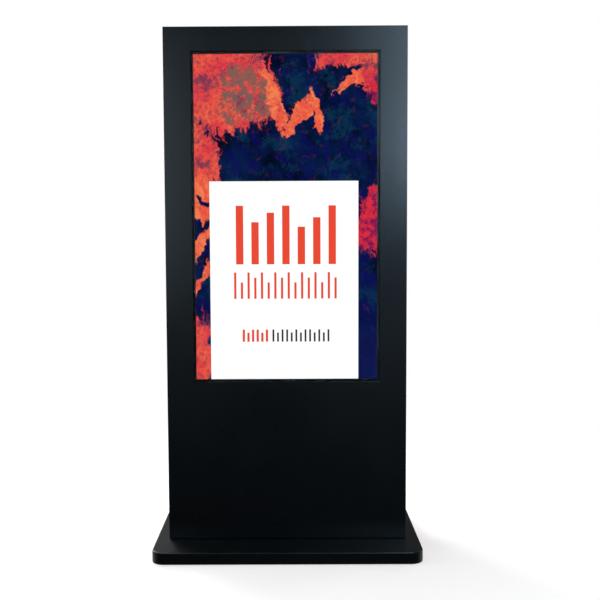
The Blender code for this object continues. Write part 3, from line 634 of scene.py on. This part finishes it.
def rear_fixings(black, nickel):
    """The screws of the fixed rear panels, the fans and the power inlet."""
    bm = bmesh.new()
    for panel in ("rear_upper_panel", "rear_lower_panel"):
        for x, z in corners_of(*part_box(panel), PANEL_INSET):
            screw_head(bm, Vector((x, REAR, z)), Y_AXIS, PANEL_SCREW)
    for fan in ("fan_left_frame", "fan_right_frame"):
        for x, z in corners_of(*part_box(fan), FAN_INSET):
            screw_head(bm, Vector((x, REAR, z)), Y_AXIS, FAN_SCREW)
    low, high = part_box("power_inlet")
    for x in (low.x + INLET_INSET, high.x - INLET_INSET):
        screw_head(bm, Vector((x, high.y, (low.z + high.z) / 2)), Y_AXIS, INLET_SCREW, 1)
    finish_piece("rear_fixings", bm, [black, nickel], "cabinet")


def hinge_screws(black):
    """Three screws in each hinge leaf, those of the fixed leaves and then those of the door's."""
    for side, body, offset in (
        ("frame", "cabinet", -HINGE_SCREW_OFFSET),
        ("door", "door", HINGE_SCREW_OFFSET),
    ):
        bm = bmesh.new()
        for level in ("lower", "middle", "upper"):
            low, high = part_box(f"hinge_{level}_{side}_leaf")
            pin_low, pin_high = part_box(f"hinge_{level}_pin")
            x = (pin_low.x + pin_high.x) / 2 + offset
            for z in (low.z + HINGE_INSET, (low.z + high.z) / 2, high.z - HINGE_INSET):
                screw_head(bm, Vector((x, REAR + HINGE_LEAF, z)), Y_AXIS, HINGE_SCREW)
        finish_piece(f"hinge_{side}_screws", bm, [black], body)


# The display's louvres: the heights of their rows above its middle, and the columns.
LOUVRE_ROWS = (-0.445, -0.415, -0.385, 0.385, 0.415, 0.445)
LOUVRE_COLUMNS = 9
LOUVRE_START = -0.216
LOUVRE_PITCH = 0.054
LOUVRE_HOOD = (
    (CLEAR, 0.0200, 0.0045, 0.0040),
    (0.0012, 0.0192, 0.0040, 0.0036),
    (0.0024, 0.0170, 0.0022, 0.0020),
)

# Heights above the display's middle: the screws down its cover's sides, and the rails' bolts.
SIDE_SCREWS = (-0.25, 0.0, 0.25)
RAIL_BOLTS = (-0.10, 0.10)

# The bolts stand on washers, which lie on the web of a channel.
CHANNEL_WEB = 0.0015
WASHER_RADIUS = 0.0090
WASHER = 0.0013


def display_fittings(steel, nickel, foil):
    """Louvres, screws, mounting bolts and a blank plate on the back of the display."""
    low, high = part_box("lcd_rear_cover")
    middle = (low.z + high.z) / 2
    bm = bmesh.new()
    for row in LOUVRE_ROWS:
        for column in range(LOUVRE_COLUMNS):
            x = LOUVRE_START + LOUVRE_PITCH * column
            loft(bm, Vector((x, high.y, middle + row)), Y_AXIS, LOUVRE_HOOD)
    for x, z in corners_of(low, high, COVER_INSET):
        screw_head(bm, Vector((x, high.y, z)), Y_AXIS, COVER_SCREW, 1)
    for x in (low.x + COVER_INSET, high.x - COVER_INSET):
        for height in SIDE_SCREWS:
            place = Vector((x, high.y, middle + height))
            screw_head(bm, place, Y_AXIS, COVER_SCREW, 1)
    plate = Vector((-0.02, high.y, middle - 0.352))
    slab(bm, plate, Y_AXIS, (0.050, 0.018), 0.0004, 0.003, 0.0001, 2)
    for rail in ("display_rail_left", "display_rail_right"):
        rail_low, rail_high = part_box(rail)
        for height in RAIL_BOLTS:
            x = (rail_low.x + rail_high.x) / 2
            web = Vector((x, rail_low.y + CHANNEL_WEB, middle + height))
            washer = [circle(CLEAR, WASHER_RADIUS), circle(WASHER, WASHER_RADIUS)]
            loft(bm, web, Y_AXIS, washer, 1)
            screw_head(bm, web + Y_AXIS * (WASHER + CLEAR), Y_AXIS, RAIL_SCREW, 1)
    finish_piece("display_fittings", bm, [steel, nickel, foil], "cabinet")


# The player's cooling fins, from its left edge.
FIN_COUNT = 17
FIN_START = 0.012
FIN_PITCH = 0.0078

# The player's sockets: how far each is from the left edge, and its half width and half height.
SOCKETS = ((0.095, 0.0075, 0.0038), (0.118, 0.0075, 0.0038), (0.146, 0.0088, 0.0070))
SOCKET_WALL = 0.0010
SOCKET_HEIGHT = 0.0014


def player_fittings(plastic, nickel, glow):
    """Cooling fins, sockets and a power lamp on the media player."""
    low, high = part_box("media_player")
    bm = bmesh.new()
    for fin in range(FIN_COUNT):
        x = low.x + FIN_START + FIN_PITCH * fin
        place = Vector((x, high.y, (low.z + high.z) / 2))
        slab(bm, place, Y_AXIS, (0.0014, 0.076), 0.0042, 0.0006, 0.0004)
    lamp = Vector((high.x - 0.020, high.y, high.z - 0.044))
    slab(bm, lamp, Y_AXIS, (0.0016, 0.0016), 0.0010, 0.0016, 0.0005, 2)
    depth = (low.y + high.y) / 2
    for offset, width, height in SOCKETS:
        inner_width = width - SOCKET_WALL
        inner_height = height - SOCKET_WALL
        shell = [
            (CLEAR, width, height, 0.0009),
            (SOCKET_HEIGHT, width, height, 0.0009),
            (SOCKET_HEIGHT, inner_width, inner_height, 0.0006),
            (0.0004, inner_width - 0.0001, inner_height - 0.0001, 0.0006),
        ]
        loft(bm, Vector((low.x + offset, depth, high.z)), Z_AXIS, shell, 1)
    finish_piece("player_fittings", bm, [plastic, nickel, glow], "cabinet")


# The strip's outlets, and the two pin holes in each, along X from the middle of each.
OUTLETS = (-0.100, -0.050, 0.0, 0.050, 0.100)
PIN_HOLES = (-0.0065, 0.0065)


def strip_fittings(plastic, dark, amber):
    """Outlets along the top of the power strip, and its lit switch."""
    low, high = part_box("power_strip")
    depth = (low.y + high.y) / 2
    rim = [circle(CLEAR, 0.0185), circle(0.0016, 0.0185), circle(0.0020, 0.0180)]
    rim += [circle(0.0020, 0.0165), circle(0.0004, 0.0160)]
    pin_hole = [circle(0.0006, 0.0032), circle(0.0014, 0.0030), circle(0.0008, 0.0022)]
    bm = bmesh.new()
    for x in OUTLETS:
        place = Vector((x, depth, high.z))
        loft(bm, place, Z_AXIS, rim)
        for side in PIN_HOLES:
            loft(bm, place + X_AXIS * side, Z_AXIS, pin_hole, 1)
    switch = Vector((high.x - 0.020, depth, high.z))
    slab(bm, switch, Z_AXIS, (0.0095, 0.0075), 0.0030, 0.0012, 0.0008, 2)
    finish_piece("strip_fittings", bm, [plastic, dark, amber], "cabinet")


# Where the held leads leave the strip, the player and the display, along X.
PLAYER_POWER_X = -0.150
DISPLAY_POWER_X = 0.150
PLAYER_VIDEO_X = -0.220
SCREEN_VIDEO_X = -0.180
SCREEN_POWER_X = 0.110

# How deep behind the front of the display's cover its leads run.
COVER_LEAD_DEPTH = 0.010

# The radii of the leads where they enter the plugs.
MAINS_LEAD = 0.0040
SCREEN_LEAD = 0.0038
STRIP_LEAD = 0.0037
THIN_LEAD = 0.0030


def lead_plugs(plastic):
    """The moulded plug at each end of the held leads."""
    strip_low, strip_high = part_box("power_strip")
    player_low, player_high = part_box("media_player")
    cover_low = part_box("lcd_rear_cover")[0]
    inlet_low, inlet_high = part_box("power_inlet")
    depth = (strip_low.y + strip_high.y) / 2
    cover_depth = cover_low.y + COVER_LEAD_DEPTH
    strip_middle = (strip_low.z + strip_high.z) / 2
    inlet_x = (inlet_low.x + inlet_high.x) / 2
    inlet_z = (inlet_low.z + inlet_high.z) / 2
    # Each plug: its place, its direction, its half sizes, its length and its lead's radius.
    plugs = (
        ((PLAYER_POWER_X, depth, strip_high.z), Z_AXIS, (0.0150, 0.0150), 0.032, STRIP_LEAD),
        ((DISPLAY_POWER_X, depth, strip_high.z), Z_AXIS, (0.0150, 0.0150), 0.032, STRIP_LEAD),
        ((strip_high.x, depth, strip_middle), X_AXIS, (0.0100, 0.0120), 0.022, MAINS_LEAD),
        ((PLAYER_POWER_X, depth, player_low.z), -Z_AXIS, (0.0062, 0.0062), 0.018, THIN_LEAD),
        ((PLAYER_VIDEO_X, depth, player_high.z), Z_AXIS, (0.0105, 0.0060), 0.026, THIN_LEAD),
        ((SCREEN_VIDEO_X, cover_depth, cover_low.z), -Z_AXIS, (0.0105, 0.0058), 0.024, THIN_LEAD),
        ((SCREEN_POWER_X, cover_depth, cover_low.z), -Z_AXIS, (0.0125, 0.0080), 0.026, SCREEN_LEAD),
        ((inlet_x, inlet_low.y, inlet_z), -Y_AXIS, (0.0125, 0.0100), 0.022, MAINS_LEAD),
    )
    bm = bmesh.new()
    for place, direction, half, length, lead_radius in plugs:
        moulded_plug(bm, Vector(place), direction, half, length, lead_radius)
    finish_piece("lead_plugs", bm, [plastic], "cabinet")


# The filters behind the door's vents: their places, and the half sizes of the pads.
FILTER_X = (-0.17, 0.17)
FILTER_HEIGHT = 0.270
FILTER_HALF = (0.142, 0.062)
DOOR_SHEET = 0.0015


def vent_filters(foam, black):
    """Foam filter pads behind the door's vents, each held by a shallow frame."""
    surround = [
        (0.0066, 0.148, 0.068, 0.006),
        (0.0082, 0.148, 0.068, 0.006),
        (0.0082, 0.136, 0.056, 0.004),
        (0.0067, 0.136, 0.056, 0.004),
    ]
    bm = bmesh.new()
    for x in FILTER_X:
        place = Vector((x, REAR - DOOR_SHEET, FILTER_HEIGHT))
        slab(bm, place, -Y_AXIS, FILTER_HALF, 0.0065, 0.006, 0.002)
        loft(bm, place, -Y_AXIS, surround, 1, through=True)
        for side in (-FILTER_HALF[0], FILTER_HALF[0]):
            screw_head(bm, place + Vector((side, -0.0083, 0.0)), -Y_AXIS, FILTER_SCREW, 1)
    finish_piece("vent_filters", bm, [foam, black], "door")


# ---------------------------------------------------------------- frame materials


def dress_frame(materials):
    """Gives every CAD node its material by the record's slot."""
    slots = {entry["node"]: entry["material_slot"] for entry in frame["record"]["subparts"]}
    for name, node in NODES.items():
        node.data.materials.clear()
        node.data.materials.append(materials[slots[name]])


FOLDED_STEEL = (
    "front_panel",
    "side_panel_left",
    "side_panel_right",
    "top_panel",
    "plinth_cover",
    "rear_upper_panel",
    "rear_lower_panel",
    "rear_door",
)


def ease_edges(names, width):
    """Rounds the edges of folded sheet, which the CAD leaves sharp."""
    for name in names:
        weld = NODES[name].modifiers.new("weld", "WELD")
        weld.merge_threshold = 0.00002
        bevel = NODES[name].modifiers.new("eased edges", "BEVEL")
        bevel.width = width
        bevel.segments = 2
        bevel.limit_method = "ANGLE"
        bevel.angle_limit = math.radians(50)
        bevel.use_clamp_overlap = True


# ---------------------------------------------------------------- studio


def softbox(name, place, target, size, colour, watts):
    data = bpy.data.lights.new(name, "AREA")
    data.shape = "RECTANGLE"
    data.size, data.size_y = size
    data.color = colour
    data.energy = watts
    lamp = bpy.data.objects.new(name, data)
    bpy.context.scene.collection.objects.link(lamp)
    lamp.location = place
    direction = Vector(target) - Vector(place)
    lamp.rotation_mode = "QUATERNION"
    lamp.rotation_quaternion = direction.to_track_quat("-Z", "Y")


# The studio's pale walls, as light from behind, from below and from either side.
WALLS_BEHIND = (0.0, 0.8, -0.6)
WALLS_BESIDE = 0.7
WALLS_START = 0.62
DARK_LEVEL = 0.02
WALL_LEVEL = 0.50


def surroundings():
    """White to the camera; to the kiosk, dark in front with pale walls behind and beside it."""
    world = bpy.data.worlds.new("studio")
    bpy.context.scene.world = world
    world.use_nodes = True
    tree = world.node_tree
    background = tree.nodes["Background"]
    background.inputs["Color"].default_value = (1.0, 1.0, 1.0, 1.0)
    direction = tree.nodes.new("ShaderNodeTexCoord").outputs["Generated"]

    sides = tree.nodes.new("ShaderNodeVectorMath")
    sides.operation = "ABSOLUTE"
    tree.links.new(direction, sides.inputs[0])
    parts = tree.nodes.new("ShaderNodeSeparateXYZ")
    tree.links.new(sides.outputs[0], parts.inputs[0])

    behind = tree.nodes.new("ShaderNodeVectorMath")
    behind.operation = "DOT_PRODUCT"
    tree.links.new(direction, behind.inputs[0])
    behind.inputs[1].default_value = WALLS_BEHIND

    round_about = tree.nodes.new("ShaderNodeMath")
    round_about.operation = "MULTIPLY_ADD"
    tree.links.new(parts.outputs["X"], round_about.inputs[0])
    round_about.inputs[1].default_value = WALLS_BESIDE
    tree.links.new(behind.outputs["Value"], round_about.inputs[2])

    walls = tree.nodes.new("ShaderNodeMapRange")
    tree.links.new(round_about.outputs[0], walls.inputs["Value"])
    walls.inputs["From Min"].default_value = WALLS_START
    walls.inputs["From Max"].default_value = 1.0
    walls.inputs["To Min"].default_value = DARK_LEVEL
    walls.inputs["To Max"].default_value = WALL_LEVEL

    level = tree.nodes.new("ShaderNodeMapRange")
    seen = tree.nodes.new("ShaderNodeLightPath").outputs["Is Camera Ray"]
    tree.links.new(seen, level.inputs["Value"])
    tree.links.new(walls.outputs["Result"], level.inputs["To Min"])
    level.inputs["To Max"].default_value = 1.0
    tree.links.new(level.outputs["Result"], background.inputs["Strength"])


FLOOR_RADIUS = 14.0
FLOOR_SEGMENTS = 64
FLOOR_DROP = 0.0005

# The floor shows shadows close to the kiosk and fades into the white, between these distances.
FADE_START = 0.6
FADE_END = 3.0


def pale_floor():
    bm = bmesh.new()
    bmesh.ops.create_circle(bm, cap_ends=True, radius=FLOOR_RADIUS, segments=FLOOR_SEGMENTS)
    bmesh.ops.translate(bm, verts=bm.verts, vec=(0, 0, -FLOOR_DROP))
    mesh = bpy.data.meshes.new("studio_floor")
    bm.to_mesh(mesh)
    bm.free()
    floor = bpy.data.objects.new("studio_floor", mesh)
    bpy.context.scene.collection.objects.link(floor)
    floor.visible_glossy = False
    floor.visible_transmission = False
    shader = Shader("pale_floor")
    reach = shader.node("ShaderNodeVectorMath", operation="LENGTH")
    shader.feed(reach.inputs[0], shader.place)
    fade = shader.ramp(reach.outputs["Value"], FADE_START, FADE_END)
    shader.set(
        base_color=shader.mix(fade, (0.92, 0.92, 0.92), (0.0, 0.0, 0.0)),
        roughness=0.9,
        specular_ior_level=0.0,
        emission_color=shader.mix(fade, (0.54, 0.485, 0.45), (1.0, 1.0, 1.0)),
        emission_strength=1.0,
    )
    floor.data.materials.append(shader.material)


LIGHTS_Y = -4.15
MIDDLE = (0.0, 0.0, 1.1)
WHITE = (1.0, 1.0, 1.0)

# Each light: its name, its place, what it looks at, its width and height, its colour and its watts.
LIGHTS = (
    ("key", (1.66, LIGHTS_Y, 2.70), (0.4, 0.0, 1.7), (1.40, 1.96), (0.58, 0.80, 1.0), 56.0),
    ("key_edge", (1.66, LIGHTS_Y, 1.86), (0.5, 0.0, 1.5), (1.10, 0.30), (0.50, 0.74, 1.0), 25.0),
    ("low_fill", (0.75, LIGHTS_Y, 0.22), (0.3, 0.0, 0.5), (1.10, 0.40), (0.66, 0.82, 1.0), 0.65),
    ("left_glow", (-1.62, LIGHTS_Y, 1.76), (-0.4, 0.0, 1.3), (1.2, 2.0), (0.70, 0.87, 1.0), 17.5),
    ("side_left", (-3.6, -0.4, 1.9), MIDDLE, (1.4, 2.6), (0.95, 0.98, 1.0), 30.0),
    ("side_right", (3.6, -0.4, 1.9), MIDDLE, (1.4, 2.6), (0.95, 0.98, 1.0), 30.0),
    ("overhead", (-0.9, 0.7, 4.3), (0.0, 0.0, 0.0), (2.4, 2.4), WHITE, 54.0),
    ("back_left", (-2.4, 3.1, 2.1), MIDDLE, (1.8, 2.6), WHITE, 110.0),
    ("back_right", (3.4, 2.6, 2.2), MIDDLE, (1.6, 2.4), (0.92, 0.96, 1.0), 26.0),
)


def studio():
    surroundings()
    pale_floor()
    for light in LIGHTS:
        softbox(*light)


def camera():
    data = bpy.data.cameras.new("camera")
    data.lens = LENS
    data.sensor_width = SENSOR
    data.shift_x = SHIFT_X
    made = bpy.data.objects.new("camera", data)
    bpy.context.scene.collection.objects.link(made)
    bpy.context.scene.camera = made
    place = Vector((CAMERA_SIDE, FRONT - CAMERA_DISTANCE, CAMERA_HEIGHT))
    turn = Matrix.Rotation(-CAMERA_YAW, 4, "Z")
    turn = turn @ Matrix.Rotation(math.pi / 2 - CAMERA_PITCH, 4, "X")
    turn = turn @ Matrix.Rotation(CAMERA_ROLL, 4, "Z")
    made.matrix_world = Matrix.Translation(place) @ turn


# ---------------------------------------------------------------- assembly


def main():
    bpy.context.scene.view_settings.view_transform = "Standard"
    bpy.context.scene.view_settings.look = "None"
    materials = {
        "cabinet_coat": powder_coat("cabinet_coat", (0.0009, 0.0019, 0.0026), 0.275),
        "plinth_coat": powder_coat("plinth_coat", (0.0009, 0.0017, 0.0022), 0.32, shine=0.35),
        "plain_steel": rolled_steel("plain_steel"),
        "zinc_plate": zinc_plate("zinc_plate"),
        "bright_nickel": bright_nickel("bright_nickel"),
        "rubber": rubber("foam_tape", 0.85),
        "foot_rubber": rubber("foot_rubber"),
        "clear_glass": clear_glass("clear_glass"),
        "screen": moulded_plastic("display_border", (0.003, 0.003, 0.004), 0.45),
        "black_plastic": moulded_plastic("black_plastic", (0.012, 0.012, 0.013), 0.45),
        "cable_sheath": rubber("cable_sheath", 0.6),
    }
    dress_frame(materials)
    ease_edges(FOLDED_STEEL, 0.0007)
    lit_picture()
    black_fixing = black_oxide("black_fixing")
    nickel = materials["bright_nickel"]
    plastic = materials["black_plastic"]
    rear_fixings(black_fixing, nickel)
    hinge_screws(black_fixing)
    display_fittings(materials["zinc_plate"], nickel, foil_plate("foil_plate"))
    player_fittings(plastic, nickel, lamp_lens("green_lamp", (0.02, 0.50, 0.10), 2.0))
    strip_fittings(
        moulded_plastic("strip_plastic", (0.030, 0.031, 0.033), 0.5),
        rubber("socket_dark", 0.7),
        lamp_lens("amber_switch", (0.75, 0.16, 0.01), 0.5),
    )
    lead_plugs(moulded_plastic("plug_plastic", (0.018, 0.018, 0.019), 0.42))
    vent_filters(rubber("filter_foam", 0.9), black_fixing)
    studio()
    camera()


main()
